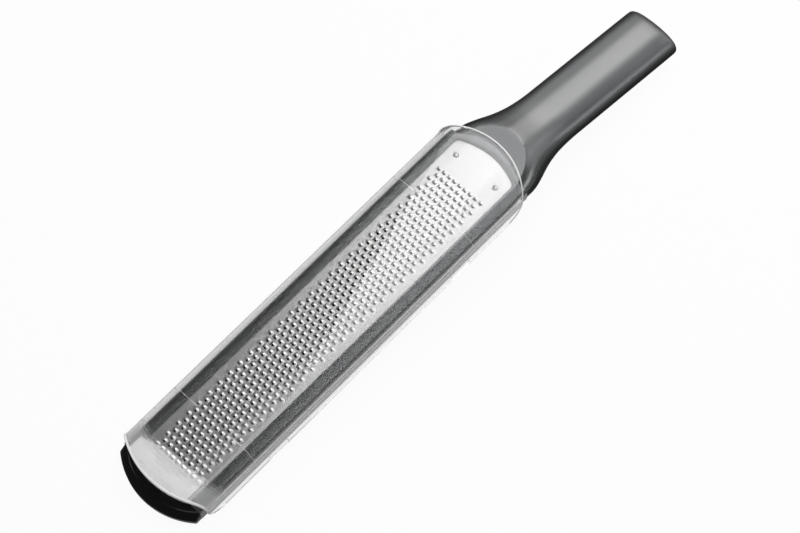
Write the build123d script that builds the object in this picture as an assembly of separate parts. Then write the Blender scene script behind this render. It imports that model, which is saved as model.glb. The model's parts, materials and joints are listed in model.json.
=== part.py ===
from build123d import *
import copy
import math
import os

os.makedirs("parts", exist_ok=True)

# All lengths are in millimetres and all angles in degrees.
# Everything is drawn in the blade's own frame: X runs from the tip to the handle,
# Y across, Z up out of the cutting face, and Z = 0 is the face of the blade.
# The finished tool is then tipped onto the table it lies on.

# The field of teeth. Long and short rows alternate, half a pitch apart.
pitch_along = 6.35
pitch_across = 3.175
teeth_in_long_column = 29
columns_each_side = 8
slot_length = 1.15
slot_width = 1.5
hood_length = 1.3
hood_height = 0.6
field_half_length = (teeth_in_long_column - 1) * pitch_along / 2
field_half_width = columns_each_side * pitch_across / 2

# The blade: plain margins round the field of teeth
blade_thickness = 0.5
blade_side_margin = 4.3
blade_tip_margin = 7.5
blade_end_margin = 20.8
blade_end_radius = 36.0
blade_corner_radius = 3.0
blade_half_width = field_half_width + blade_side_margin
blade_tip_x = -field_half_length - blade_tip_margin
blade_end_x = field_half_length + blade_end_margin

# The rivets that hold the blade, set in from its edges
rivet_handle_inset = 10.2
rivet_tip_inset = 4.0
rivet_handle_edge = 5.0
rivet_tip_edge = 6.0
rivet_shank_radius = 0.9
rivet_head_radius = 1.4
rivet_head_height = 0.45
rivet_crown_share = 0.6
rivet_tail_height = 0.5
rivet_hole_clearance = 0.05
rivet_handle_x = blade_end_x - rivet_handle_inset
rivet_tip_x = blade_tip_x + rivet_tip_inset
rivet_handle_y = blade_half_width - rivet_handle_edge
rivet_tip_y = blade_half_width - rivet_tip_edge

# The frame round the blade: two rails with skirts, a ledge and end bars
rail_width = 6.6
rail_proud = 0.5
rail_edge_radius = 1.9
tip_bar_length = 1.6
tip_bevel = 1.4
frame_depth = 7.9
skirt_thickness = 2.2
ledge_thickness = 2.5
pocket_clearance = 0.1
window_side_margin = 1.4
window_tip_margin = 0.9
window_end_margin = 3.1
window_corner_radius = 4.0
end_wall_inset = 7.1
frame_half_width = blade_half_width + rail_width
frame_top = rail_proud
frame_bottom = frame_top - frame_depth
frame_tip_x = blade_tip_x - tip_bar_length
plate_bottom = -blade_thickness - ledge_thickness
hollow_end_x = blade_end_x - end_wall_inset

# The tongue on the tip bar
tongue_half_width = 15.0
tongue_length = 6.0
tongue_thickness = 2.4
tongue_drop = 0.4
tongue_clearance = 0.1
tongue_top = plate_bottom - tongue_drop
tongue_bottom = tongue_top - tongue_thickness
tongue_tip_x = frame_tip_x - tongue_length

# The neck and handle: the middle plane falls away from the blade
droop_slope = 0.25215
droop_start_inset = 27.78
neck_overlap = 7.7
neck_length = 48.3
handle_length = 114.2
handle_thickness_up = 8.25
handle_thickness_down = 8.6
handle_half_width = 15.05
handle_corner_share = 0.88
butt_arc_radius = 57.0
butt_side_radius = 10.0
butt_side_share = 0.95
droop_start_x = blade_end_x - droop_start_inset
neck_start_x = blade_end_x - neck_overlap
butt_x = blade_end_x + handle_length

# Sections of the neck, evenly spaced from the frame to the grip. In each: the share of
# the step from grip width to frame width, of the frame's depth by which the widest level
# lies over the middle plane, of the handle's thickness up and down from there, and of the
# half width that each elliptical corner takes.
neck_shares = (
    (0.982, 0.185, 0.495, 0.419, 0.15),
    (1.000, 0.098, 0.851, 0.370, 0.45),
    (0.984, 0.033, 1.163, 0.436, 0.73),
    (0.920, 0.005, 1.364, 0.539, 0.89),
    (0.796, 0.000, 1.448, 0.667, 0.95),
    (0.629, 0.000, 1.444, 0.788, 0.97),
    (0.451, 0.000, 1.376, 0.880, 0.97),
    (0.299, 0.000, 1.285, 0.940, 0.96),
    (0.183, 0.000, 1.196, 0.974, 0.94),
    (0.099, 0.000, 1.118, 0.992, 0.92),
    (0.047, 0.000, 1.060, 0.999, 0.90),
    (0.014, 0.000, 1.020, 1.000, 0.89),
    (0.000, 0.000, 1.000, 1.000, 0.88),
)

# The foot at the tip
foot_corner_length = 3.2
foot_length = 11.7
foot_step = 0.4
foot_slope_drop = 1.5
foot_chamfer_reach = 3.4
foot_chamfer_drop = 2.0
foot_side_bevel = 1.0
foot_side_drop = 0.4
foot_pad_drop = 0.5
foot_pad_inset = 2.6
foot_top = frame_top - tip_bevel - foot_step
foot_corner_x = frame_tip_x - foot_corner_length
foot_front_x = frame_tip_x - foot_length

# The clear cover
cover_side_clearance = 0.45
cover_wall = 1.4
cover_top = 8.6
cover_dome = 0.5
cover_shoulder_radius = 8.5
cover_skirt_drop = 3.4
cover_tip_margin = 5.65
cover_tip_arc_radius = 44.3
cover_end_margin = 4.25
cover_end_arc_radius = 36.2
cover_corner_radius = 10.0
cover_rim_width = 1.2
cover_rim_height = 0.4
recess_half_length = 9.6
recess_reach = 3.85
recess_depth = 0.6
hook_offset = 57.6
hook_length = 11.5
hook_reach = 1.9
hook_height = 1.8
hook_clearance = 0.3
cover_half_width = frame_half_width + cover_side_clearance + cover_wall
cover_bottom = frame_bottom - cover_skirt_drop
cover_tip_x = frame_tip_x - cover_tip_margin
cover_end_x = blade_end_x + cover_end_margin

# How far cutting shapes run past what they cut, and how often the resting angle is halved
past = 6.0
rest_steps = 24


def arc_end(x_apex, radius, half_width):
    """Where an end arc with its apex on the centre line meets a half width."""
    sagitta = radius - math.sqrt(radius ** 2 - half_width ** 2)
    return x_apex - sagitta


def droop(x):
    """Height of the handle's middle plane at x."""
    return -droop_slope * (x - droop_start_x)


def oval(x, half_width, middle, up, down, corner_share):
    """A closed section across the tool: flat on top and below, with elliptical corners."""
    plane = Plane(origin=(x, 0, middle), x_dir=(0, 1, 0), z_dir=(1, 0, 0))
    corner = half_width * corner_share
    flat = half_width - corner
    edges = [
        EllipticalCenterArc((flat, 0), corner, up, start_angle=0, arc_size=90),
        Line((flat, up), (-flat, up)),
        EllipticalCenterArc((-flat, 0), corner, up, start_angle=90, arc_size=90),
        EllipticalCenterArc((-flat, 0), corner, down, start_angle=180, arc_size=90),
        Line((-flat, -down), (flat, -down)),
        EllipticalCenterArc((flat, 0), corner, down, start_angle=270, arc_size=90),
    ]
    return Wire([plane * edge for edge in edges])


def side_profile(points, half_depth):
    """A solid with this outline in X and Z, running across the tool."""
    wire = Polyline(*[(x, 0, z) for x, z in points], close=True)
    return extrude(make_face(wire), half_depth, dir=(0, 1, 0), both=True)


def slab(x0, x1, half_width, z0, z1):
    return Pos((x0 + x1) / 2, 0, (z0 + z1) / 2) * Box(x1 - x0, 2 * half_width, z1 - z0)


# Blade blank


def blade_outline(grow):
    half = blade_half_width + grow
    x0, x1 = blade_tip_x - grow, blade_end_x + grow
    corner = arc_end(x1, blade_end_radius + grow, half)
    edges = [
        Line((x0, half), (corner, half)),
        ThreePointArc((corner, half), (x1, 0), (corner, -half)),
        Line((corner, -half), (x0, -half)),
        Line((x0, -half), (x0, half)),
    ]
    face = make_face(Curve() + edges)
    return fillet(face.vertices(), blade_corner_radius + grow)


# Teeth: a pointed slot through the sheet and, on its handle side, a hood pushed up from it.


def tetrahedron(a, b, c, d):
    corners = ((a, b, c), (a, b, d), (a, c, d), (b, c, d))
    return Solid(Shell([make_face(Polyline(*three, close=True)).face() for three in corners]))


slots = []
hoods = []
hood_half = slot_width / 2
for column in range(-columns_each_side, columns_each_side + 1):
    y = column * pitch_across / 2
    count = teeth_in_long_column - column % 2
    for tooth in range(count):
        x = (tooth - (count - 1) / 2) * pitch_along
        lip = x + slot_length / 2
        left, right = (lip, y + hood_half, 0), (lip, y - hood_half, 0)
        slots.append(Wire(Polyline((x - slot_length / 2, y, 0), right, left, close=True).edges()))
        hoods.append(tetrahedron(left, right, (lip, y, hood_height), (lip + hood_length, y, 0)))

rivet_spots = [(rivet_tip_x, rivet_tip_y), (rivet_tip_x, -rivet_tip_y),
               (rivet_handle_x, rivet_handle_y), (rivet_handle_x, -rivet_handle_y)]
rivet_hole_radius = rivet_shank_radius + rivet_hole_clearance
holes = [(Pos(x, y) * Circle(rivet_hole_radius)).face().outer_wire() for x, y in rivet_spots]
blade_face = Face(blade_outline(0).face().outer_wire(), slots + holes)
blade = extrude(blade_face, -blade_thickness) + hoods


# Frame: a flat bar with rounded rail edges, hollow underneath, with a pocket for the
# blade and a window under the teeth.

frame = slab(frame_tip_x, neck_start_x + past, frame_half_width, frame_bottom, frame_top)
long_top_edges = frame.edges().filter_by(Axis.X).group_by(Axis.Z)[-1]
frame = fillet(long_top_edges, rail_edge_radius)
frame -= slab(frame_tip_x + skirt_thickness, hollow_end_x,
              frame_half_width - skirt_thickness, frame_bottom - past, plate_bottom)

# The neck and handle: sections lofted down the drooping middle plane, cut flat on top
# by the plane of the rails, which leaves the round-ended deck behind the blade.

sections = []
for i, (wide, lift, up, down, corner) in enumerate(neck_shares):
    x = neck_start_x + neck_length * i / (len(neck_shares) - 1)
    sections.append(oval(
        x, handle_half_width + wide * (frame_half_width - handle_half_width),
        droop(x) + lift * frame_depth, up * handle_thickness_up,
        down * handle_thickness_down, corner))
neck = Solid.make_loft(sections)
grip_start_x = neck_start_x + neck_length
grip_face = make_face(oval(grip_start_x, handle_half_width, droop(grip_start_x),
                           handle_thickness_up, handle_thickness_down, handle_corner_share))
grip_reach = (butt_x + past - grip_start_x) * math.hypot(1, droop_slope)
handle = neck + extrude(grip_face, grip_reach, dir=(1, 0, -droop_slope))
handle -= slab(neck_start_x - past, butt_x, frame_half_width + past,
               frame_top, frame_top + 2 * handle_thickness_up)

# The butt: one barrel surface, a shallow arc across and a tighter one from top to bottom,
# set square to the drooping axis.
butt_half = butt_side_radius * butt_side_share
butt_set_back = butt_side_radius - math.sqrt(butt_side_radius ** 2 - butt_half ** 2)
barrel_face = make_face(Curve() + [
    Line((0, 0, -butt_half), (butt_arc_radius - butt_set_back, 0, -butt_half)),
    ThreePointArc((butt_arc_radius - butt_set_back, 0, -butt_half), (butt_arc_radius, 0, 0),
                  (butt_arc_radius - butt_set_back, 0, butt_half)),
    Line((butt_arc_radius - butt_set_back, 0, butt_half), (0, 0, butt_half)),
    Line((0, 0, butt_half), (0, 0, -butt_half)),
])
reach = butt_arc_radius * 2
butt_cutter = Pos(reach / 2, 0, 0) * Box(reach, reach, reach) - revolve(barrel_face, Axis.Z)
butt_plane = Plane(origin=(butt_x, 0, droop(butt_x)),
                   x_dir=(1, 0, -droop_slope), z_dir=(droop_slope, 0, 1))
handle -= butt_plane.location * Pos(-butt_arc_radius, 0, 0) * butt_cutter

body = frame + handle
body -= extrude(Pos(0, 0, -blade_thickness) * blade_outline(pocket_clearance), past)
window_tip_x = -field_half_length - window_tip_margin
window_end_x = field_half_length + window_end_margin
window = Pos((window_tip_x + window_end_x) / 2, 0, frame_top) * Rectangle(
    window_end_x - window_tip_x, 2 * (field_half_width + window_side_margin))
body -= extrude(fillet(window.vertices(), window_corner_radius), -frame_depth)
for x, y in rivet_spots:
    body -= Pos(x, y, plate_bottom) * Cylinder(rivet_hole_radius, 2 * frame_depth)

# The tip bar is bevelled down towards the foot and carries the tongue the foot is pushed on.
bevel = side_profile([(frame_tip_x, frame_top), (frame_tip_x, frame_top - tip_bevel),
                      (frame_tip_x + tip_bevel, frame_top)], frame_half_width + past)
body -= bevel
body += slab(tongue_tip_x, frame_tip_x + skirt_thickness, tongue_half_width,
             tongue_bottom, tongue_top)

# Foot: a curved soft block, sloping down to a blunt lip, with a raised pad underneath.

foot_bow = foot_length - foot_corner_length
foot_radius = (foot_bow ** 2 + frame_half_width ** 2) / (2 * foot_bow)


def foot_outline(inset):
    half = frame_half_width - inset
    front = foot_front_x + inset
    corner = arc_end(-front, foot_radius - inset, half)
    edges = [
        Line((frame_tip_x, half), (-corner, half)),
        ThreePointArc((-corner, half), (front, 0), (-corner, -half)),
        Line((-corner, -half), (frame_tip_x, -half)),
        Line((frame_tip_x, -half), (frame_tip_x, half)),
    ]
    return make_face(Curve() + edges)


foot = extrude(Pos(0, 0, frame_bottom) * foot_outline(0), frame_top - frame_bottom)
foot -= side_profile([(frame_tip_x, frame_top + past), (frame_tip_x, foot_top),
                      (foot_front_x, foot_top - foot_slope_drop),
                      (foot_front_x - past, foot_top - foot_slope_drop),
                      (foot_front_x - past, frame_top + past)], frame_half_width + past)
front_edge = foot.edges().filter_by(GeomType.LINE, reverse=True).group_by(Axis.Z)[-1]
foot = chamfer(front_edge, foot_chamfer_drop, foot_chamfer_reach)
side_top = foot_top - foot_side_drop
side_cut = make_face(Polyline((frame_tip_x, frame_half_width, side_top - foot_side_bevel),
                              (frame_tip_x, frame_half_width + past, side_top - foot_side_bevel),
                              (frame_tip_x, frame_half_width + past, frame_top),
                              (frame_tip_x, frame_half_width - foot_side_bevel, frame_top),
                              (frame_tip_x, frame_half_width - foot_side_bevel, side_top),
                              close=True))
side_bevel = extrude(side_cut, foot_length + past, dir=(-1, 0, 0))
foot -= [side_bevel, mirror(side_bevel, about=Plane.XZ)]
foot -= slab(tongue_tip_x - tongue_clearance, frame_tip_x,
             tongue_half_width + tongue_clearance, tongue_bottom - tongue_clearance,
             tongue_top + tongue_clearance)
foot += extrude(Pos(0, 0, frame_bottom) * foot_outline(foot_pad_inset), -foot_pad_drop)

# Rivets: a low conical head on the blade, a shank, and a tail set under the frame.


def rivet(x, y):
    tail = plate_bottom - rivet_tail_height
    crown = rivet_head_radius * rivet_crown_share
    half = Polyline((0, 0, rivet_head_height), (crown, 0, rivet_head_height),
                    (rivet_head_radius, 0, 0), (rivet_shank_radius, 0, 0),
                    (rivet_shank_radius, 0, plate_bottom), (rivet_head_radius, 0, plate_bottom),
                    (crown, 0, tail), (0, 0, tail), close=True)
    return Pos(x, y, 0) * revolve(make_face(half), Axis.Z)


rivets = [rivet(x, y) for x, y in rivet_spots]

# Cover: a clear channel with a slightly domed top, round shoulders and open ends.


def cover_section(grow):
    half = cover_half_width + grow
    top = cover_top + grow
    radius = cover_shoulder_radius + grow
    crown = half - radius
    low = top - cover_dome
    a = math.radians(45)
    wall_top = low - radius
    middle_y = crown + radius * math.sin(math.pi / 4)
    middle_z = wall_top + radius * math.cos(math.pi / 4)
    edges = [
        ThreePointArc((0, -crown, low), (0, 0, top), (0, crown, low)),
        ThreePointArc((0, crown, low), (0, middle_y, middle_z), (0, half, wall_top)),
        Polyline((0, half, wall_top), (0, half, cover_bottom), (0, -half, cover_bottom),
                 (0, -half, wall_top)),
        ThreePointArc((0, -half, wall_top), (0, -middle_y, middle_z), (0, -crown, low)),
    ]
    face = make_face(Curve() + edges)
    length = (cover_end_x - cover_tip_x) + 2 * past
    return Pos(cover_tip_x - past, 0, 0) * extrude(face, length, dir=(1, 0, 0))


def end_arcs(inset):
    half = cover_half_width + cover_rim_height + cover_wall
    x0, x1 = cover_tip_x + inset, cover_end_x - inset
    corner0 = -arc_end(-x0, cover_tip_arc_radius, half)
    corner1 = arc_end(x1, cover_end_arc_radius, half)
    edges = [
        ThreePointArc((corner0, -half), (x0, 0), (corner0, half)),
        Line((corner0, half), (corner1, half)),
        ThreePointArc((corner1, half), (x1, 0), (corner1, -half)),
        Line((corner1, -half), (corner0, -half)),
    ]
    tall = cover_top - cover_bottom + 2 * past
    return extrude(Pos(0, 0, cover_bottom - past) * make_face(Curve() + edges), tall)


bore = cover_section(-cover_wall)
bore += slab(cover_tip_x - past, cover_end_x + past, cover_half_width - cover_wall,
             cover_bottom - past, 0)
cover = (cover_section(0) & end_arcs(0)) - bore
rim = (cover_section(cover_rim_height) & end_arcs(0)) - end_arcs(cover_rim_width) - cover_section(0)
rim -= slab(cover_tip_x - past, cover_end_x + past, cover_half_width + past,
            cover_bottom - past, cover_top - cover_dome - cover_shoulder_radius)
cover += rim

# The thumb recess in the top, just inside the rim at the tip end
recess = slab(cover_tip_x - past, cover_tip_x + recess_reach, recess_half_length,
              cover_top - recess_depth, cover_top + past)
cover -= recess & end_arcs(cover_rim_width)

# Round lower corners at both ends of the side walls
corner_z = cover_bottom + cover_corner_radius
across = cover_half_width + past
for x_apex, arc_radius, side in ((cover_tip_x, cover_tip_arc_radius, 1),
                                 (cover_end_x, cover_end_arc_radius, -1)):
    wall_end = x_apex + side * (arc_radius - math.sqrt(arc_radius ** 2 - cover_half_width ** 2))
    centre = wall_end + side * cover_corner_radius
    far = wall_end - side * past
    corner = slab(min(centre, far), max(centre, far), across, cover_bottom - past, corner_z)
    corner -= Pos(centre, 0, corner_z) * Rot(90, 0, 0) * Cylinder(cover_corner_radius, 2 * across)
    cover -= corner

# Four hooks turned in under the skirts, which hold the cover down and guide it
hook_middle_x = (cover_tip_x + cover_end_x) / 2
hook_top = frame_bottom - hook_clearance
inner = cover_half_width - cover_wall
hook_face = make_face(Polyline((0, inner, hook_top), (0, inner - hook_reach, hook_top),
                               (0, inner - hook_reach, hook_top - hook_height / 2),
                               (0, inner, hook_top - hook_height), close=True))
hook = extrude(hook_face, hook_length / 2, dir=(1, 0, 0), both=True)
for side in (1, -1):
    placed = Pos(hook_middle_x + side * hook_offset, 0, 0) * hook
    cover += [placed, mirror(placed, about=Plane.XZ)]

# Lay the tool on the table: it tips about Y until the butt and the cover's corners
# touch, then its lowest point goes to Z = 0 and its middle to the origin.

pieces = {
    "handle_frame": body,
    "blade": blade,
    "foot": foot,
    "cover": cover,
    "rivet_tip_left": rivets[0],
    "rivet_tip_right": rivets[1],
    "rivet_handle_left": rivets[2],
    "rivet_handle_right": rivets[3],
}
for name, piece in pieces.items():
    print(name, round(piece.volume, 1), piece.is_valid, len(piece.solids()), len(piece.faces()))


def lowest(shape, angle):
    return (Rot(0, angle, 0) * shape).bounding_box(optimal=True).min.Z


low_angle, high_angle = 0.0, math.degrees(math.atan(droop_slope))
for step in range(rest_steps):
    rest_angle = (low_angle + high_angle) / 2
    if lowest(body, -rest_angle) < lowest(cover, -rest_angle):
        low_angle = rest_angle
    else:
        high_angle = rest_angle

tipped = {name: Rot(0, -rest_angle, 0) * piece for name, piece in pieces.items()}
box = Compound(children=[copy.copy(piece) for piece in tipped.values()]).bounding_box(optimal=True)
place = Pos(-(box.min.X + box.max.X) / 2, -(box.min.Y + box.max.Y) / 2, -box.min.Z)
place *= Rot(0, -rest_angle, 0)
for name, piece in pieces.items():
    export_step(place * piece, f"parts/{name}.step")

# Sizes that the record states, in the finished frame and in metres


def stated(x, y, z):
    point = (place * Pos(x, y, z)).position
    return [round(value / 1000, 5) for value in (point.X, point.Y, point.Z)]


a = math.radians(rest_angle)
print("rest angle", round(rest_angle, 4), "size", [round(v, 2) for v in (box.size.X, box.size.Y, box.size.Z)])
print("slide axis, off the tip", [round(-math.cos(a), 6), 0, round(-math.sin(a), 6)])
print("face axis, up", [round(-math.sin(a), 6), 0, round(math.cos(a), 6)])
print("travel", round((cover_end_x - foot_front_x + past) / 1000, 4))
pad_x = frame_tip_x - foot_length / 2
print("foot pad", stated(pad_x, 0, frame_bottom - foot_pad_drop))
print("deck", stated((blade_end_x + cover_end_x) / 2, 0, frame_top))
grip_x = (grip_start_x + butt_x) / 2
print("grip", stated(grip_x, 0, droop(grip_x)))
print("origin of the blade frame", stated(0, 0, 0))
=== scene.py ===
import json
import math

import bmesh
import bpy
import numpy as np
from mathutils import Matrix, Vector


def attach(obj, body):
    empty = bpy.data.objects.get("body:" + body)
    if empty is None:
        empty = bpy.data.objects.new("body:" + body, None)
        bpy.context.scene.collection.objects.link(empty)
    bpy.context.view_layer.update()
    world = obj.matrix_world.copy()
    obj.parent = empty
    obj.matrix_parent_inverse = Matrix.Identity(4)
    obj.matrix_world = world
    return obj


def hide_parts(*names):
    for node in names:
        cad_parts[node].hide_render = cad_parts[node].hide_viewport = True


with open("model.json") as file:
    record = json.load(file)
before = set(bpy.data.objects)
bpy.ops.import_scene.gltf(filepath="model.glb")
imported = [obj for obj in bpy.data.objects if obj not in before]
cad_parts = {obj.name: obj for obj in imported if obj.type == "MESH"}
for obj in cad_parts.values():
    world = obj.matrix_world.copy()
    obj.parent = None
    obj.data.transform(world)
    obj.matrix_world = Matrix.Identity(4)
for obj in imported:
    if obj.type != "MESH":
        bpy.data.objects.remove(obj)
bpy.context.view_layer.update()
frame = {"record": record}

# ---- Frame and handle ----
# One moulding in satin anthracite plastic: a flat bar with a pocket for the blade and skirts
# below, running through the neck into a drooping oval handle. The plane of the rails cuts the
# neck flat, which leaves the round-ended deck behind the blade.

# Every piece is drawn on the blade, in millimetres: X from the tip to the handle, Y across, Z up
# out of the teeth. The record's rail mount says where the middle of the blade lies on the
# table and which way its rails run, so each piece is drawn flat and then laid down.
rails = next(m for m in frame["record"]["mounts"] if m["name"] == "cover_rails")
along_rails, across_rails = -Vector(rails["axis"]), Vector((0, 1, 0))
lie = Matrix((along_rails, across_rails, along_rails.cross(across_rails))).transposed().to_4x4()
lie.translation = Vector(rails["pos_m"])
laid = lie @ Matrix.Scale(0.001, 4)


def smooth(piece, crease):
    """Shades a piece smooth, but for its creases past an angle in degrees."""
    mesh = piece.data
    mesh.polygons.foreach_set("use_smooth", [True] * len(mesh.polygons))
    mesh.set_sharp_from_angle(angle=math.radians(crease))


def settle(piece):
    """Turns a piece with modifiers into its plain mesh."""
    shape = bpy.data.meshes.new_from_object(piece.evaluated_get(
        bpy.context.evaluated_depsgraph_get()))
    piece.modifiers.clear()
    piece.data = shape
    shape.name = piece.name
    return piece


def add_node(tree, kind, operation=None, values=None):
    """A new node with its operation and the values of its inputs, by name or by number."""
    node = tree.nodes.new(kind)
    if operation:
        node.operation = operation
    for label, value in (values or {}).items():
        node.inputs[label].default_value = value
    return node


def wire(tree, *pairs):
    """Links each output to its input."""
    for source, target in pairs:
        tree.links.new(source, target)


def shader_group(name, inputs, outputs):
    """A node group from the names, kinds and values of its sockets, with its two ends."""
    group = bpy.data.node_groups.new(name, "ShaderNodeTree")
    for label, kind, value in inputs:
        socket = group.interface.new_socket(name=label, in_out="INPUT", socket_type=kind)
        if value is not None:
            socket.default_value = value
    for label, kind in outputs:
        group.interface.new_socket(name=label, in_out="OUTPUT", socket_type=kind)
    ends = group.nodes.new("NodeGroupInput"), group.nodes.new("NodeGroupOutput")
    return group, *ends


# Moulded grain: a fine even texture with a slow drift of tone, as on eroded tool steel.
grain, grain_in, grain_out = shader_group(
    "moulded grain",
    [("Vector", "NodeSocketVector", None), ("Fine Scale", "NodeSocketFloat", 2600.0),
     ("Drift Scale", "NodeSocketFloat", 22.0), ("Tone", "NodeSocketColor", (0.1, 0.1, 0.1, 1)),
     ("Drift", "NodeSocketFloat", 0.1), ("Roughness", "NodeSocketFloat", 0.4),
     ("Spread", "NodeSocketFloat", 0.08)],
    [("Color", "NodeSocketColor"), ("Roughness", "NodeSocketFloat"),
     ("Height", "NodeSocketFloat")])
fine = add_node(grain, "ShaderNodeTexNoise", values={"Detail": 3.0})
slow = add_node(grain, "ShaderNodeTexNoise", values={"Detail": 5.0})
shade = add_node(grain, "ShaderNodeMapRange", values={"From Min": 0.3, "From Max": 0.7})
less = add_node(grain, "ShaderNodeMath", "SUBTRACT", {0: 1.0})
more = add_node(grain, "ShaderNodeMath", "ADD", {0: 1.0})
tint = add_node(grain, "ShaderNodeVectorMath", "SCALE")
centred = add_node(grain, "ShaderNodeMath", "SUBTRACT", {1: 0.5})
spread = add_node(grain, "ShaderNodeMath", "MULTIPLY_ADD")
asked, given = grain_in.outputs, grain_out.inputs
wire(grain, (asked["Vector"], fine.inputs["Vector"]), (asked["Vector"], slow.inputs["Vector"]),
     (asked["Fine Scale"], fine.inputs["Scale"]), (asked["Drift Scale"], slow.inputs["Scale"]),
     (asked["Drift"], less.inputs[1]), (asked["Drift"], more.inputs[1]),
     (slow.outputs["Fac"], shade.inputs["Value"]), (less.outputs[0], shade.inputs["To Min"]),
     (more.outputs[0], shade.inputs["To Max"]), (asked["Tone"], tint.inputs[0]),
     (shade.outputs["Result"], tint.inputs["Scale"]), (tint.outputs["Vector"], given["Color"]),
     (slow.outputs["Fac"], centred.inputs[0]), (centred.outputs[0], spread.inputs[0]),
     (asked["Spread"], spread.inputs[1]), (asked["Roughness"], spread.inputs[2]),
     (spread.outputs[0], given["Roughness"]), (fine.outputs["Fac"], given["Height"]))


def finish_of(name):
    """A new material, its node tree, its Principled shader and its object coordinates."""
    material = bpy.data.materials.new(name)
    material.use_nodes = True
    tree = material.node_tree
    where = tree.nodes.new("ShaderNodeTexCoord").outputs["Object"]
    return material, tree, tree.nodes["Principled BSDF"], where


def put_grain(tree, shader, where, strength, depth, values):
    """The grain above on a material: its colour, its roughness and a bump of a depth in metres."""
    feel = tree.nodes.new("ShaderNodeGroup")
    feel.node_tree = grain
    for label, value in values.items():
        feel.inputs[label].default_value = value
    bump = add_node(tree, "ShaderNodeBump", values={"Strength": strength, "Distance": depth})
    wire(tree, (where, feel.inputs["Vector"]),
         (feel.outputs["Color"], shader.inputs["Base Color"]),
         (feel.outputs["Roughness"], shader.inputs["Roughness"]),
         (feel.outputs["Height"], bump.inputs["Height"]),
         (bump.outputs["Normal"], shader.inputs["Normal"]))
    return feel


def grained(name, tone, drift, roughness, spread_of, fine_scale, bump_share):
    """A moulded finish with the grain above."""
    material, tree, shader, where = finish_of(name)
    put_grain(tree, shader, where, bump_share, 0.0001,
              {"Fine Scale": fine_scale, "Tone": (*tone, 1), "Drift": drift,
               "Roughness": roughness, "Spread": spread_of})
    return material, shader


anthracite, anthracite_shader = grained(
    "satin anthracite plastic", (0.121, 0.124, 0.126), 0.05, 0.235, 0.04, 2600.0, 0.12)
anthracite_shader.inputs["Metallic"].default_value = 0.85
anthracite_shader.inputs["IOR"].default_value = 1.5
# The grip is eroded a little rougher than the flat bar. The change lies on the neck, between
# two places in metres along the table.
rougher_from, rougher_to, rougher_by = 0.05, 0.09, 0.1
anthracite_tree = anthracite_shader.id_data
along = add_node(anthracite_tree, "ShaderNodeSeparateXYZ")
rough_grip = add_node(anthracite_tree, "ShaderNodeMapRange", values={
    "From Min": rougher_from, "From Max": rougher_to, "To Max": rougher_by})
rough_all = add_node(anthracite_tree, "ShaderNodeMath", "ADD")
rough_bar = anthracite_shader.inputs["Roughness"].links[0].from_socket
wire(anthracite_tree,
     (anthracite_tree.nodes["Texture Coordinate"].outputs["Object"], along.inputs["Vector"]),
     (along.outputs["X"], rough_grip.inputs["Value"]), (rough_bar, rough_all.inputs[0]),
     (rough_grip.outputs["Result"], rough_all.inputs[1]),
     (rough_all.outputs[0], anthracite_shader.inputs["Roughness"]))

frame_half_width, frame_top, frame_bottom = 23.6, 0.5, -7.4
frame_tip_x, frame_bar_end_x, rail_edge_radius, tip_bevel = -98.0, 108.0, 1.9, 1.4
neck_start_x, grip_start_x, butt_x = 102.0, 150.3, 223.9
droop_slope, droop_start_x = 0.25215, 81.92
handle_half_width, handle_up, handle_down = 15.05, 8.25, 8.6
butt_arc_radius, butt_side_radius, butt_roll_off = 57.0, 10.0, 8.0

# Sections of the neck at even steps: share of the way from grip width to frame width, lift
# and thickness up and down in shares, and how much of the width the elliptical corner takes.
neck_shares = np.array((
    (0.982, 0.185, 0.495, 0.419, 0.15), (1.000, 0.098, 0.851, 0.370, 0.45),
    (0.984, 0.033, 1.163, 0.436, 0.73), (0.920, 0.005, 1.364, 0.539, 0.89),
    (0.796, 0.000, 1.448, 0.667, 0.95), (0.629, 0.000, 1.444, 0.788, 0.97),
    (0.451, 0.000, 1.376, 0.880, 0.97), (0.299, 0.000, 1.285, 0.940, 0.96),
    (0.183, 0.000, 1.196, 0.974, 0.94), (0.099, 0.000, 1.118, 0.992, 0.92),
    (0.047, 0.000, 1.060, 0.999, 0.90), (0.014, 0.000, 1.020, 1.000, 0.89),
    (0.000, 0.000, 1.000, 1.000, 0.88)))


def neck_share(step):
    """The neck's shares at a place between its sections, on a smooth curve through them."""
    last = len(neck_shares) - 1
    i = min(int(step), last - 1)
    t = step - i
    before, here = neck_shares[max(i - 1, 0)], neck_shares[i]
    there, after = neck_shares[i + 1], neck_shares[min(i + 2, last)]
    return here + 0.5 * t * (there - before + t * (2 * before - 5 * here + 4 * there - after
                                                   + t * (3 * (here - there) + after - before)))


def oval(half_width, up, down, corner_share, steps=14):
    """Points round a section: flat on top and below, with elliptical corners."""
    corner = half_width * corner_share
    flat = half_width - corner
    ring = []
    for quarter, (side, high) in enumerate(((1, up), (-1, up), (-1, down), (1, down))):
        for k in range(steps + 1):
            a = math.pi / 2 * (quarter + k / steps)
            ring.append((side * flat + corner * math.cos(a), high * math.sin(a)))
    return ring


def butt_reach(y, z):
    """X of the barrel-shaped butt for a point of the grip's section."""
    lean = math.hypot(1, droop_slope)
    set_back = butt_side_radius - math.sqrt(butt_side_radius ** 2 - min(abs(z) / lean, 9.9) ** 2)
    bow = math.sqrt((butt_arc_radius - set_back) ** 2 - y * y) - butt_arc_radius
    return butt_x + (bow + droop_slope * z / lean) / lean


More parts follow.
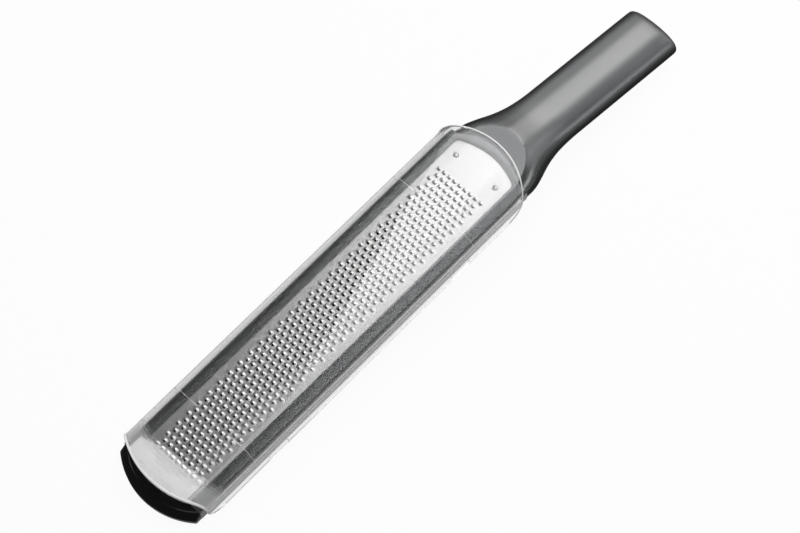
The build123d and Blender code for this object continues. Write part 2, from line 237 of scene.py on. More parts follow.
rings = []
neck_rings = 84
for k in range(neck_rings + 1):
    wide, lift, up, down, corner = neck_share(k / neck_rings * (len(neck_shares) - 1))
    x = neck_start_x + (grip_start_x - neck_start_x) * k / neck_rings
    middle = -droop_slope * (x - droop_start_x) + lift * (frame_top - frame_bottom)
    half = handle_half_width + wide * (frame_half_width - handle_half_width)
    rings.append([(x, y, middle + z) for y, z in oval(half, up * handle_up, down * handle_down,
                                                      corner)])
section = oval(handle_half_width, handle_up, handle_down, 0.88)


def grip_ring(wide, high, back, part=1.0):
    """A section of the grip, set back from the butt, or a part of the way there."""
    ring = []
    for y, z in section:
        y, z = y * wide, z * high
        x = grip_start_x + (butt_reach(y, z) - back - grip_start_x) * part
        ring.append((x, y, z - droop_slope * (x - droop_start_x)))
    return ring


rings += [grip_ring(1.0, 1.0, butt_roll_off, k / 24) for k in range(1, 25)]
# The butt's edge: shares of the section's width and height, and how far back from the end.
rings += [grip_ring(wide, high, back) for wide, high, back in (
    (1.0, 0.997, 6.4), (1.0, 0.991, 5.0), (1.0, 0.982, 3.8), (1.0, 0.971, 2.8),
    (1.0, 0.958, 2.0), (1.0, 0.941, 1.3), (0.998, 0.923, 0.8), (0.992, 0.905, 0.4),
    (0.980, 0.885, 0.15), (0.962, 0.86, 0.0))]
rings += [grip_ring(s, s * 0.88, 0.0) for s in (0.8, 0.6, 0.4, 0.2)]

count = len(section)
points = [p for ring in rings for p in ring]
faces = [(r * count + i, r * count + (i + 1) % count, (r + 1) * count + (i + 1) % count,
          (r + 1) * count + i) for r in range(len(rings) - 1) for i in range(count)]
faces.append(tuple(range(count - 1, -1, -1)))
faces.append(tuple(range((len(rings) - 1) * count, len(rings) * count)))


def solid_part(name, points, faces, cuts=()):
    """A closed shape in millimetres, cut flat by planes given as a point and a normal."""
    bm = bmesh.new()
    made = [bm.verts.new(p) for p in points]
    for face in faces:
        bm.faces.new([made[i] for i in face])
    bmesh.ops.remove_doubles(bm, verts=bm.verts, dist=1e-4)
    for place, normal in cuts:
        cut = bmesh.ops.bisect_plane(bm, geom=bm.verts[:] + bm.edges[:] + bm.faces[:],
                                     plane_co=place, plane_no=normal, clear_outer=True)
        rim = [e for e in cut["geom_cut"] if isinstance(e, bmesh.types.BMEdge)]
        bmesh.ops.contextual_create(bm, geom=rim)
    bmesh.ops.triangulate(bm, faces=[f for f in bm.faces if len(f.verts) > 4])
    bmesh.ops.recalc_face_normals(bm, faces=bm.faces)
    mesh = bpy.data.meshes.new(name)
    bm.to_mesh(mesh)
    bm.free()
    part = bpy.data.objects.new(name, mesh)
    bpy.context.scene.collection.objects.link(part)
    return part


def prism(name, outline, low, high, cuts=()):
    """A solid part over an outline in X and Y."""
    n = len(outline)
    points = [(x, y, low) for x, y in outline] + [(x, y, high) for x, y in outline]
    faces = [tuple(range(n - 1, -1, -1)), tuple(range(n, 2 * n))]
    faces += [(i, (i + 1) % n, n + (i + 1) % n, n + i) for i in range(n)]
    return solid_part(name, points, faces, cuts)


def turned(centre, radius, start, end, steps):
    """Points along an arc, angles in degrees."""
    return [(centre[0] + radius * math.cos(math.radians(start + (end - start) * k / steps)),
             centre[1] + radius * math.sin(math.radians(start + (end - start) * k / steps)))
            for k in range(steps + 1)]


handle_part = solid_part("handle part", points, faces, [((0, 0, frame_top), (0, 0, 1))])

flat_y = frame_half_width - rail_edge_radius
bar_side = turned((flat_y, frame_top - rail_edge_radius), rail_edge_radius, 0, 90, 8)
bar_section = ([(frame_half_width, frame_bottom)] + bar_side
               + [(-y, z) for y, z in reversed(bar_side)] + [(-frame_half_width, frame_bottom)])
n = len(bar_section)
bar_points = [(x, y, z) for x in (frame_tip_x, frame_bar_end_x) for y, z in bar_section]
bar_faces = [tuple(range(n - 1, -1, -1)), tuple(range(n, 2 * n))]
bar_faces += [(i, (i + 1) % n, n + (i + 1) % n, n + i) for i in range(n)]
frame_and_handle = solid_part("frame_and_handle", bar_points, bar_faces,
                              [((frame_tip_x, 0, frame_top - tip_bevel), (-1, 0, 1))])

blade_half_width, blade_tip_x, blade_end_x = 17.0, -96.4, 109.7
blade_end_radius, blade_corner_radius, ledge_top = 36.0, 3.0, -0.5


def blade_outline(grow, steps=8):
    """The blade's outline: square at the tip, bowed at the handle end, all corners round."""
    r, bow = blade_corner_radius + grow, blade_end_radius + grow
    y, bow_x = blade_half_width + grow - r, blade_end_x - blade_end_radius
    corner_x = bow_x + math.sqrt((bow - r) ** 2 - y * y)
    lean = math.degrees(math.atan2(y, corner_x - bow_x))
    tip_x = blade_tip_x - grow + r
    half = (turned((bow_x, 0), bow, 0, lean, 20) + turned((corner_x, y), r, lean, 90, steps)
            + turned((tip_x, y), r, 90, 180, steps))
    return half + [(x, -y) for x, y in reversed(half[1:])]


window_corners = []
for x, y, start in ((88.0, 10.1, 0), (-85.8, 10.1, 90), (-85.8, -10.1, 180), (88.0, -10.1, 270)):
    window_corners += turned((x, y), 4.0, start, start + 90, 8)
hollow = [(-95.8, -21.4), (102.6, -21.4), (102.6, 21.4), (-95.8, 21.4)]
tongue = [(-104.0, -15.0), (-97.0, -15.0), (-97.0, 15.0), (-104.0, 15.0)]
joined = [(handle_part, "UNION"), (prism("tongue part", tongue, -5.8, -3.4), "UNION"),
          (prism("pocket cutter", blade_outline(0.1), ledge_top, 4.0), "DIFFERENCE"),
          (prism("window cutter", window_corners, -6.0, 3.0), "DIFFERENCE"),
          (prism("hollow cutter", hollow, -12.0, -3.0), "DIFFERENCE")]
for part, how in joined:
    step = frame_and_handle.modifiers.new(part.name, "BOOLEAN")
    step.operation, step.object, step.solver = how, part, "EXACT"
settle(frame_and_handle)
for part, _ in joined:
    bpy.data.objects.remove(part)
frame_and_handle.data.transform(laid)
smooth(frame_and_handle, 25)
frame_and_handle.data.materials.clear()
frame_and_handle.data.materials.append(anthracite)
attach(frame_and_handle, "tool")
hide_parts("handle_frame")

# ---- Blade ----
# A sheet of stainless steel with its teeth etched through and pushed up: each hole opens
# towards the tip, with a raised lip round its handle side. Rows of nine and eight teeth
# alternate, half a pitch apart, 57 rows in all.
pitch_along, pitch_across, long_rows, teeth_in_long_row = 6.35, 3.175, 29, 9
sheet_thickness, lip_height = 0.3, 0.42
tile = pitch_across
tilt = math.asin(along_rails.z)
tile_steps = 4


def tooth_tile():
    """One tooth and the square of sheet round it, as three bands of faces round the hole."""
    h, edge = tile / 2, []
    for side in range(4):
        for k in range(tile_steps):
            s = -h + tile * k / tile_steps
            edge.append(((h, s), (-s, h), (-h, -s), (s, -h))[side])
    loops = [[(x, y, 0.0) for x, y in edge]]
    for centre, rx, ry, high in ((0.27, 1.28, 1.16, 0.0), (0.24, 1.12, 0.98, 0.9),
                                 (-0.02, 0.6, 0.6, 1.0)):
        loop = []
        for corner_x, corner_y in edge:
            a = math.atan2(corner_y, corner_x)
            x = centre + rx * math.cos(a)
            raised = max(min((1.5 - x) / 1.15, (x + 0.25) / 0.6, 1.0), 0.0)
            loop.append((x, ry * math.sin(a), high * lip_height * raised))
        loops.append(loop)
    n = len(edge)
    points = [p for loop in loops for p in loop]
    faces = [(b * n + i, b * n + (i + 1) % n, (b + 1) * n + (i + 1) % n, (b + 1) * n + i)
             for b in range(3) for i in range(n)]
    return points, faces


def margin():
    """The plain sheet round the teeth, meeting the outer tiles point for point."""
    step = tile / tile_steps
    half_x, half_y = long_rows * tile - tile / 2, teeth_in_long_row * tile / 2
    nx, ny = round(2 * half_x / step), round(2 * half_y / step)
    inner = ([(half_x, -half_y + k * step) for k in range(ny)]
             + [(half_x - k * step, half_y) for k in range(nx)]
             + [(-half_x, half_y - k * step) for k in range(ny)]
             + [(-half_x + k * step, -half_y) for k in range(nx)])
    path = blade_outline(0, 16)
    path = np.array(path + path[:1])
    run = np.concatenate(([0], np.cumsum(np.hypot(*np.diff(path, axis=0).T))))
    corners = []
    for sx, sy in ((1, -1), (1, 1), (-1, 1), (-1, -1)):
        towards = 0.7 * sx * path[:-1, 0] + sy * path[:-1, 1]
        corners.append(run[int(np.argmax(towards))])
    corners[0] -= run[-1]
    corners.append(corners[0] + run[-1])
    outer = []
    for side, n in enumerate((ny, nx, ny, nx)):
        for k in range(n):
            s = (corners[side] + (corners[side + 1] - corners[side]) * k / n) % run[-1]
            outer.append((np.interp(s, run, path[:, 0]), np.interp(s, run, path[:, 1])))
    n = len(inner)
    middle = [((a + c) / 2, (b + d) / 2) for (a, b), (c, d) in zip(inner, outer)]
    points = [(x, y, 0.0) for loop in (outer, middle, inner) for x, y in loop]
    faces = [(b * n + i, b * n + (i + 1) % n, (b + 1) * n + (i + 1) % n, (b + 1) * n + i)
             for b in range(2) for i in range(n)]
    for row in range(long_rows - 1):
        x0 = -half_x + tile * (2 * row + 1)
        for y0 in (-half_y, half_y - tile / 2):
            for i in range(tile_steps):
                for j in range(tile_steps // 2):
                    k = len(points)
                    x, y = x0 + i * step, y0 + j * step
                    points += [(x, y, 0), (x + step, y, 0), (x + step, y + step, 0),
                               (x, y + step, 0)]
                    faces.append((k, k + 1, k + 2, k + 3))
    return points, faces


def drawn(name, points, faces=()):
    """A new piece from its points and faces."""
    piece = bpy.data.objects.new(name, bpy.data.meshes.new(name))
    piece.data.from_pydata(points, [], faces)
    bpy.context.scene.collection.objects.link(piece)
    return piece


tooth = drawn("tooth", *tooth_tile())

# The steel is brushed along the blade, so its grain is stretched along the rails.
steel, steel_tree, steel_shader, steel_where = finish_of("etched stainless steel")
steel_shader.inputs["Metallic"].default_value = 1.0
level = add_node(steel_tree, "ShaderNodeMapping", values={
    "Rotation": (0, tilt, 0), "Scale": (0.045, 1.0, 1.0)})
steel_tree.links.new(steel_where, level.inputs["Vector"])
put_grain(steel_tree, steel_shader, level.outputs["Vector"], 0.08, 0.00005,
          {"Fine Scale": 5200.0, "Drift Scale": 320.0, "Tone": (0.46, 0.46, 0.457, 1),
           "Drift": 0.035, "Roughness": 0.31, "Spread": 0.1})


def repeat_tree(name, inputs):
    """A Geometry Nodes tree with a geometry in and out and named inputs."""
    tree = bpy.data.node_groups.new(name, "GeometryNodeTree")
    tree.interface.new_socket(name="Geometry", in_out="INPUT", socket_type="NodeSocketGeometry")
    ids = {}
    for label, kind in inputs:
        ids[label] = tree.interface.new_socket(name=label, in_out="INPUT",
                                               socket_type=kind).identifier
    tree.interface.new_socket(name="Geometry", in_out="OUTPUT", socket_type="NodeSocketGeometry")
    return tree, tree.nodes.new("NodeGroupInput"), tree.nodes.new("NodeGroupOutput"), ids


field, field_in, field_out, field_ids = repeat_tree(
    "field of teeth", [("Pitch Along", "NodeSocketFloat"), ("Pitch Across", "NodeSocketFloat"),
                       ("Long Rows", "NodeSocketInt"), ("Teeth in a Long Row", "NodeSocketInt"),
                       ("Tooth", "NodeSocketObject"), ("Steel", "NodeSocketMaterial")])
tooth_info = field.nodes.new("GeometryNodeObjectInfo")
together = field.nodes.new("GeometryNodeJoinGeometry")
wire(field, (field_in.outputs["Tooth"], tooth_info.inputs["Object"]))
for fewer in (0, 1):
    lattice = field.nodes.new("GeometryNodeMeshGrid")
    for rows, pitch, size, number in (
            ("Long Rows", "Pitch Along", "Size X", "Vertices X"),
            ("Teeth in a Long Row", "Pitch Across", "Size Y", "Vertices Y")):
        these = add_node(field, "ShaderNodeMath", "SUBTRACT", {1: fewer})
        gaps = add_node(field, "ShaderNodeMath", "SUBTRACT", {1: fewer + 1})
        length = add_node(field, "ShaderNodeMath", "MULTIPLY")
        wire(field, (field_in.outputs[rows], these.inputs[0]),
             (field_in.outputs[rows], gaps.inputs[0]), (gaps.outputs[0], length.inputs[0]),
             (field_in.outputs[pitch], length.inputs[1]),
             (length.outputs[0], lattice.inputs[size]), (these.outputs[0], lattice.inputs[number]))
    placed = field.nodes.new("GeometryNodeInstanceOnPoints")
    wire(field, (lattice.outputs["Mesh"], placed.inputs["Points"]),
         (tooth_info.outputs["Geometry"], placed.inputs["Instance"]),
         (placed.outputs["Instances"], together.inputs["Geometry"]))
real = field.nodes.new("GeometryNodeRealizeInstances")
weld = add_node(field, "GeometryNodeMergeByDistance", values={"Distance": 0.01})
coat = field.nodes.new("GeometryNodeSetMaterial")
wire(field, (field_in.outputs["Geometry"], together.inputs["Geometry"]),
     (together.outputs["Geometry"], real.inputs["Geometry"]),
     (real.outputs["Geometry"], weld.inputs["Geometry"]),
     (weld.outputs["Geometry"], coat.inputs["Geometry"]),
     (field_in.outputs["Steel"], coat.inputs["Material"]),
     (coat.outputs["Geometry"], field_out.inputs["Geometry"]))

blade_sheet = drawn("blade_sheet", *margin())
rows_of_teeth = blade_sheet.modifiers.new("teeth", "NODES")
rows_of_teeth.node_group = field
for label, value in (("Pitch Along", pitch_along), ("Pitch Across", pitch_across),
                     ("Long Rows", long_rows), ("Teeth in a Long Row", teeth_in_long_row),
                     ("Tooth", tooth), ("Steel", steel)):
    rows_of_teeth[field_ids[label]] = value
thick = blade_sheet.modifiers.new("thickness", "SOLIDIFY")
thick.thickness, thick.offset = sheet_thickness, -1
settle(blade_sheet)
bpy.data.objects.remove(tooth)
blade_sheet.data.transform(laid)
smooth(blade_sheet, 50)
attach(blade_sheet, "tool")
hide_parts("blade")

# ---- Rivets ----
# Four steel rivets, two near each end of the blade, each with a low round head on the sheet
# and a tail set under the frame's ledge. They are turned from one profile.
rivet_metal, rivet_shader = grained("dull rivet steel", (0.40, 0.405, 0.41), 0.08, 0.36, 0.1,
                                    3800.0, 0.1)
rivet_shader.inputs["Metallic"].default_value = 1.0
profile = [(0.0, 0.45), (0.45, 0.43), (0.85, 0.36), (1.18, 0.22), (1.38, 0.05), (1.4, 0.0),
           (0.9, 0.0), (0.9, -3.0), (1.35, -3.0), (1.2, -3.35), (0.8, -3.5), (0.0, -3.5)]
turns = 24
rivet_points = [(r * math.cos(math.tau * k / turns), r * math.sin(math.tau * k / turns), z)
                for r, z in profile[1:-1] for k in range(turns)]
rivet_faces = [(b * turns + k, (b + 1) * turns + k, (b + 1) * turns + (k + 1) % turns,
                b * turns + (k + 1) % turns)
               for b in range(len(profile) - 3) for k in range(turns)]
rivet_points += [(0, 0, profile[0][1]), (0, 0, profile[-1][1])]
head_centre, tail_centre = len(rivet_points) - 2, len(rivet_points) - 1
last = (len(profile) - 3) * turns
rivet_faces += [(head_centre, k, (k + 1) % turns) for k in range(turns)]
rivet_faces += [(tail_centre, last + (k + 1) % turns, last + k) for k in range(turns)]
one_rivet = drawn("one rivet", rivet_points, rivet_faces)

set_of, set_in, set_out, set_ids = repeat_tree(
    "set of rivets", [("Rivet", "NodeSocketObject"), ("Metal", "NodeSocketMaterial")])
rivet_info = set_of.nodes.new("GeometryNodeObjectInfo")
rivet_spots = set_of.nodes.new("GeometryNodeInstanceOnPoints")
rivet_real = set_of.nodes.new("GeometryNodeRealizeInstances")
rivet_coat = set_of.nodes.new("GeometryNodeSetMaterial")
wire(set_of, (set_in.outputs["Rivet"], rivet_info.inputs["Object"]),
     (set_in.outputs["Geometry"], rivet_spots.inputs["Points"]),
     (rivet_info.outputs["Geometry"], rivet_spots.inputs["Instance"]),
     (rivet_spots.outputs["Instances"], rivet_real.inputs["Geometry"]),
     (rivet_real.outputs["Geometry"], rivet_coat.inputs["Geometry"]),
     (set_in.outputs["Metal"], rivet_coat.inputs["Material"]),
     (rivet_coat.outputs["Geometry"], set_out.inputs["Geometry"]))

rivets = drawn("rivets", [(x, side * y, 0) for x, y in ((-92.4, 11.0), (99.5, 12.0))
                          for side in (1, -1)])
spread_rivets = rivets.modifiers.new("four of them", "NODES")
spread_rivets.node_group = set_of
spread_rivets[set_ids["Rivet"]] = one_rivet
spread_rivets[set_ids["Metal"]] = rivet_metal
settle(rivets)
bpy.data.objects.remove(one_rivet)
rivets.data.transform(laid)
smooth(rivets, 40)
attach(rivets, "tool")
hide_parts("rivet_tip_left", "rivet_tip_right", "rivet_handle_left",
            "rivet_handle_right")

# ---- Foot ----
# A soft black block pushed on the tip, so that the tool doesn't slip on a board. Its top
# slopes forward and is chamfered round the bowed front, and a low pad stands under it.
foot_front_x, foot_bow, foot_top, foot_slope_drop = -109.7, 8.5, -1.3, 1.5
foot_bow_radius = (foot_bow ** 2 + frame_half_width ** 2) / (2 * foot_bow)


def foot_loop(front_inset, side_inset, front_z, side_z, steps=40):
    """Points round the foot at an inset. A level of None is the sloping top."""
    half = frame_half_width - side_inset
    radius = foot_bow_radius - front_inset
    front = foot_front_x + front_inset
    reach = math.asin(half / radius)
    loop = [(frame_tip_x, half, side_z)]
    for k in range(steps + 1):
        a = reach * (1 - 2 * k / steps)
        loop.append((front + radius * (1 - math.cos(a)), radius * math.sin(a), front_z))
    loop.append((frame_tip_x, -half, side_z))
    slope = foot_slope_drop / (frame_tip_x - foot_front_x)
    return [(x, y, foot_top - (frame_tip_x - x) * slope if z is None else z) for x, y, z in loop]


foot_loops = [foot_loop(2.6, 2.6, -7.9, -7.9), foot_loop(2.6, 2.6, -7.45, -7.45),
              foot_loop(0.35, 0.35, -7.4, -7.4), foot_loop(0.08, 0.08, -7.3, -7.3),
              foot_loop(0.0, 0.0, -7.0, -7.0), foot_loop(0.0, 0.0, -4.95, -2.9),
              foot_loop(0.06, 0.06, -4.78, -2.7), foot_loop(0.3, 0.2, -4.6, -2.5),
              foot_loop(3.0, 0.9, -2.72, -1.85), foot_loop(3.3, 1.05, -2.58, -1.72),
              foot_loop(3.7, 1.4, None, None)]
n = len(foot_loops[0])
foot_points = [p for loop in foot_loops for p in loop]
foot_faces = [(b * n + i, b * n + (i + 1) % n, (b + 1) * n + (i + 1) % n, (b + 1) * n + i)
              for b in range(len(foot_loops) - 1) for i in range(n)]
foot_faces += [tuple(range(n - 1, -1, -1)), tuple(range((len(foot_loops) - 1) * n,
                                                       len(foot_loops) * n))]
foot_block = solid_part("foot_block", foot_points, foot_faces)
foot_block.data.transform(laid)
smooth(foot_block, 32)
rubber, rubber_shader = grained("soft black rubber", (0.004, 0.004, 0.0045), 0.15, 0.27, 0.08,
                                1800.0, 0.15)
rubber_shader.inputs["Specular IOR Level"].default_value = 0.4
foot_block.data.materials.append(rubber)
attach(foot_block, "tool")
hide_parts("foot")

# ---- Cover ----
# A clear moulded channel that slides over the tool: slightly domed top, round shoulders,
# bowed ends with a raised rim, a thumb recess at the tip end, two fine witness lines over each
# shoulder and four hooks turned in under the rails. It is one closed skin of even thickness.
cover_half_width, cover_wall, cover_bottom = 25.45, 1.4, -10.8
cover_crown_y, cover_shoulder_radius, cover_shoulder_z = 16.95, 8.5, -0.4
cover_top, cover_dome = 8.6, 0.5
cover_tip_x, cover_tip_bow, cover_end_x, cover_end_bow = -103.65, 44.3, 113.95, 36.2
cover_corner_radius, rim_height = 10.0, 0.4
hook_levels, hook_reach = (-7.7, -7.75, -8.6, -9.5), 1.9
hook_runs = ((-58.2, -46.7), (57.0, 68.5))
witness_lines, witness_depth, witness_inner_y = (-66.0, 71.4), 0.07, 10.5
recess_half_length, recess_inner_x, recess_depth = 9.6, -99.8, 0.6


def cover_half_section():
    """The +Y half of the section, bottom to top: outer point, inner point, hook share."""
    half = []
    for z, hook in ((cover_bottom, 0), (cover_bottom + 0.25, 0), (hook_levels[3], 0),
                    (hook_levels[2], 1), (hook_levels[1], 1), (hook_levels[0], 0),
                    (-6.0, 0), (-4.0, 0), (-2.0, 0)):
        tuck = 0.2 if z == cover_bottom else 0.0
        half.append(((cover_half_width - tuck, z),
                     (cover_half_width - cover_wall + tuck, z), hook))
    for k in range(15):
        a = math.pi / 2 * k / 14
        outer, inner = cover_shoulder_radius, cover_shoulder_radius - cover_wall
        half.append(((cover_crown_y + outer * math.cos(a), cover_shoulder_z + outer * math.sin(a)),
                     (cover_crown_y + inner * math.cos(a), cover_shoulder_z + inner * math.sin(a)),
                     0))
    for y in (15.0, 13.0, 11.2, 9.85, 9.6, 9.35, 7.5, 5.0, 2.5, 0.0):
        z = cover_top - cover_dome * (y / cover_crown_y) ** 2
        half.append(((y, z), (y, z - cover_wall), 0))
    return half


half_section = cover_half_section()
cover_section = half_section + [((-a[0], a[1]), (-b[0], b[1]), hook)
                                for a, b, hook in reversed(half_section[:-1])]


def cover_end(y, z, apex, bow, side):
    """X where the cover ends at a point of its section: bowed, with round lower corners."""
    x = apex + side * (bow - math.sqrt(bow ** 2 - y * y))
    low = max(0.0, cover_bottom + cover_corner_radius - z)
    rise = math.sqrt(max(cover_corner_radius ** 2 - low ** 2, 0))
    return x + side * (cover_corner_radius - rise)


def round_line(line):
    """Stations that give a witness line its groove and firm edges."""
    return [line + step for step in (-0.24, -0.2, -0.06, 0.06, 0.2, 0.24)]


def round_hook(start, end):
    """Stations along a hook."""
    return [start, start + 0.25, (start + end) / 2, end - 0.25, end]


# Stations along the cover: distances in from the tip end, plain places, distances in from
# the handle end. Each also says how far the rim stands up there.
tip_steps = ((0.0, 0.55), (0.1, 0.85), (0.25, 1.0), (0.95, 1.0), (1.1, 0.8), (1.2, 0.3),
             (1.3, 0.0), (1.5, 0.0))
handle_steps = ((0.0, 0.55), (0.1, 0.85), (0.25, 1.0), (0.7, 1.0), (0.85, 0.93), (1.3, 0.74),
                (2.0, 0.5), (3.0, 0.28), (4.2, 0.11), (5.6, 0.02), (7.0, 0.0))
places = ([-78.0] + round_line(witness_lines[0]) + round_hook(*hook_runs[0])
          + [-30.0, -10.0, 10.0, 30.0] + round_hook(*hook_runs[1])
          + round_line(witness_lines[1]) + [84.0])
rows = []
for outer, *_ in cover_section:
    tip = cover_end(*outer, cover_tip_x, cover_tip_bow, 1)
    end = cover_end(*outer, cover_end_x, cover_end_bow, -1)
    chord = max(tip + 2.0, recess_inner_x)
    row = [(tip + d, rim) for d, rim in tip_steps]
    row += [(chord - 0.15, 0.0), (chord + 0.15, 0.0)]
    row += [(chord + 0.15 + (places[0] - chord - 0.15) * k / 12, 0.0) for k in range(1, 12)]
    row += [(x, 0.0) for x in places]
    row += [(places[-1] + (end - 7.0 - places[-1]) * k / 4, 0.0) for k in range(1, 4)]
    row += [(end - d, rim) for d, rim in reversed(handle_steps)]
    rows.append(row)

cover_points = []
tip_stations = len(tip_steps)
stations = len(rows[0])
for s in range(stations):
    loop = []
    for (outer, *_), row in zip(cover_section, rows):
        x, rim = row[s]
        y, z = outer
        grow = rim * rim_height * min(max((z - cover_shoulder_z) / 2.0, 0.0), 1.0)
        scribed = any(abs(x - line) < 0.1 for line in witness_lines)
        if scribed and z > 0 and abs(y) > witness_inner_y:
            grow -= witness_depth
        if abs(y) < recess_half_length and s in (tip_stations - 1, tip_stations) and z > 0:
            grow -= recess_depth
        out = Vector((0, max(abs(y) - cover_crown_y, 0) * math.copysign(1, y),
                      max(z - cover_shoulder_z, 0) if abs(y) > cover_crown_y else 1))
        out = out.normalized() if out.length > 0 else Vector((0, math.copysign(1, y), 0))
        loop.append((x, y + out.y * grow, z + out.z * grow))
    for (_, inner, hook), row in reversed(list(zip(cover_section, rows))):
        x = row[s][0]
        y, z = inner
        hooked = hook and any(a + 0.1 < x < b - 0.1 for a, b in hook_runs)
        loop.append((x, y - math.copysign(hook_reach, y) * hooked, z))
    cover_points += loop
n = 2 * len(cover_section)
half_n = len(cover_section)
cover_faces = [(s * n + i, s * n + (i + 1) % n, (s + 1) * n + (i + 1) % n, (s + 1) * n + i)
               for s in range(stations - 1) for i in range(n)]
for base, flip in ((0, False), ((stations - 1) * n, True)):
    for i in range(half_n - 1):
        quad = (base + i, base + n - 1 - i, base + n - 2 - i, base + i + 1)
        cover_faces.append(quad[::-1] if flip else quad)
clear_cover = solid_part("clear_cover", cover_points, cover_faces)
clear_cover.data.transform(laid)
smooth(clear_cover, 38)


def clear_finish(name, roughness, bump_share, transmission=1.0):
    """Clear plastic with the faint unevenness of a moulded face."""
    material, tree, shader, where = finish_of(name)
    shader.inputs["Transmission Weight"].default_value = transmission
    shader.inputs["IOR"].default_value = 1.49
    face = put_grain(tree, shader, where, bump_share, 0.0004,
                     {"Fine Scale": 60.0, "Drift Scale": 26.0, "Tone": (0.965, 0.97, 0.97, 1),
                      "Drift": 0.008, "Roughness": roughness, "Spread": roughness * 0.5})
    return material, tree, shader, where, face


# The inner skin is lightly etched away from its middle. Where the wall turns into the shoulders
# its tone is painted a little darker, a painted shade. The places are in metres off the middle.
clear, *_ = clear_finish("clear moulded plastic", 0.02, 0.04)
etched, etched_tree, etched_shader, etched_where, etched_face = clear_finish(
    "clear plastic inside", 0.02, 0.02)
apart = etched_tree.nodes.new("ShaderNodeSeparateXYZ")
sideways = add_node(etched_tree, "ShaderNodeMath", "ABSOLUTE")
haze = add_node(etched_tree, "ShaderNodeMapRange",
                values={"From Min": 0.0088, "From Max": 0.0108})
rougher = add_node(etched_tree, "ShaderNodeMath", "MULTIPLY_ADD", {1: 0.2})
# Painted shade: the clear tone falls towards the shoulders.
shoulder_painted_shade = add_node(etched_tree, "ShaderNodeMapRange", values={
    "From Min": 0.0165, "From Max": 0.0205, "To Min": 0.965, "To Max": 0.82})
wire(etched_tree, (etched_where, apart.inputs["Vector"]), (apart.outputs["Y"], sideways.inputs[0]),
     (sideways.outputs[0], haze.inputs["Value"]), (haze.outputs["Result"], rougher.inputs[0]),
     (etched_face.outputs["Roughness"], rougher.inputs[2]),
     (rougher.outputs[0], etched_shader.inputs["Roughness"]),
     (sideways.outputs[0], shoulder_painted_shade.inputs["Value"]),
     (shoulder_painted_shade.outputs["Result"], etched_face.inputs["Tone"]))
# The rims and the witness lines are frosted and pale white: a painted highlight for the light
# their clear edges catch.
frost_and_highlight, frost_and_highlight_shader = grained("frosted rim", (0.93, 0.935, 0.935), 0.01, 0.45, 0.05,
                                  900.0, 0.1)
frost_and_highlight_shader.inputs["Transmission Weight"].default_value = 0.2
frost_and_highlight_shader.inputs["IOR"].default_value = 1.49
# The haze at the tip thins out in steps, and its pale white is partly a painted glare: how far
# in each reaches, and what it lets through.
glare_haze_steps = ((8.3, 0.3), (9.6, 0.42), (10.9, 0.56), (12.2, 0.71), (13.4, 0.86))
glare_hazed = [clear_finish("haze to %.1f mm" % reach, 0.2, 0.02, transmission)[0]
         for reach, transmission in glare_haze_steps]
for finish in (clear, frost_and_highlight, etched, *glare_hazed):
    clear_cover.data.materials.append(finish)
frost_and_highlight_index, etched_index, first_glare_haze_index = 1, 2, 3
back_to_rails = laid.inverted()


def inside(at):
    """Whether a point of the cover lies on its inner skin."""
    y, z = abs(at.y), at.z
    if z > cover_shoulder_z and y > cover_crown_y:
        reach = math.hypot(y - cover_crown_y, z - cover_shoulder_z)
        return reach < cover_shoulder_radius - cover_wall / 2
    return y < cover_half_width - cover_wall / 2 and z < cover_top - cover_dome - cover_wall / 2


# The pale rims and witness lines are a painted highlight, and the stepped haze at the tip is
# partly a painted glare.
for face in clear_cover.data.polygons:
    at = back_to_rails @ face.center
    tip = at.x - cover_end(at.y, at.z, cover_tip_x, cover_tip_bow, 1)
    end = cover_end(at.y, at.z, cover_end_x, cover_end_bow, -1) - at.x
    scribed = (any(abs(at.x - line) < 0.05 for line in witness_lines)
               and abs(at.y) > witness_inner_y and not inside(at))
    if at.z > cover_shoulder_z and (tip < 1.15 or end < 0.6 or scribed):
        face.material_index = frost_and_highlight_index
    elif inside(at) and at.z > cover_shoulder_z:
        glare_hazes = (first_glare_haze_index + k for k, (reach, _) in enumerate(glare_haze_steps) if tip < reach)
        face.material_index = next(glare_hazes, etched_index)
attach(clear_cover, "cover_shell")
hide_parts("cover")

# ---- Table, lights and camera ----
# The tool lies on a plain pale table that runs out to white. A softbox overhead and a warm one
# past the handle light everything. Four smaller ones light only the frame and handle, and one
# only the cover's tip.


def straight_sight(tree):
    """1 for what the camera sees directly or through the clear cover, otherwise 0."""
    path = tree.nodes.new("ShaderNodeLightPath")
    value = path.outputs["Is Transmission Ray"]
    for depth in ("Diffuse Depth", "Glossy Depth"):
        none_yet = add_node(tree, "ShaderNodeMath", "LESS_THAN", {1: 0.5})
        both = add_node(tree, "ShaderNodeMath", "MULTIPLY")
        wire(tree, (path.outputs[depth], none_yet.inputs[0]), (value, both.inputs[0]),
             (none_yet.outputs[0], both.inputs[1]))
        value = both.outputs[0]
    either = add_node(tree, "ShaderNodeMath", "MAXIMUM")
    wire(tree, (path.outputs["Is Camera Ray"], either.inputs[0]), (value, either.inputs[1]))
    return either.outputs[0]


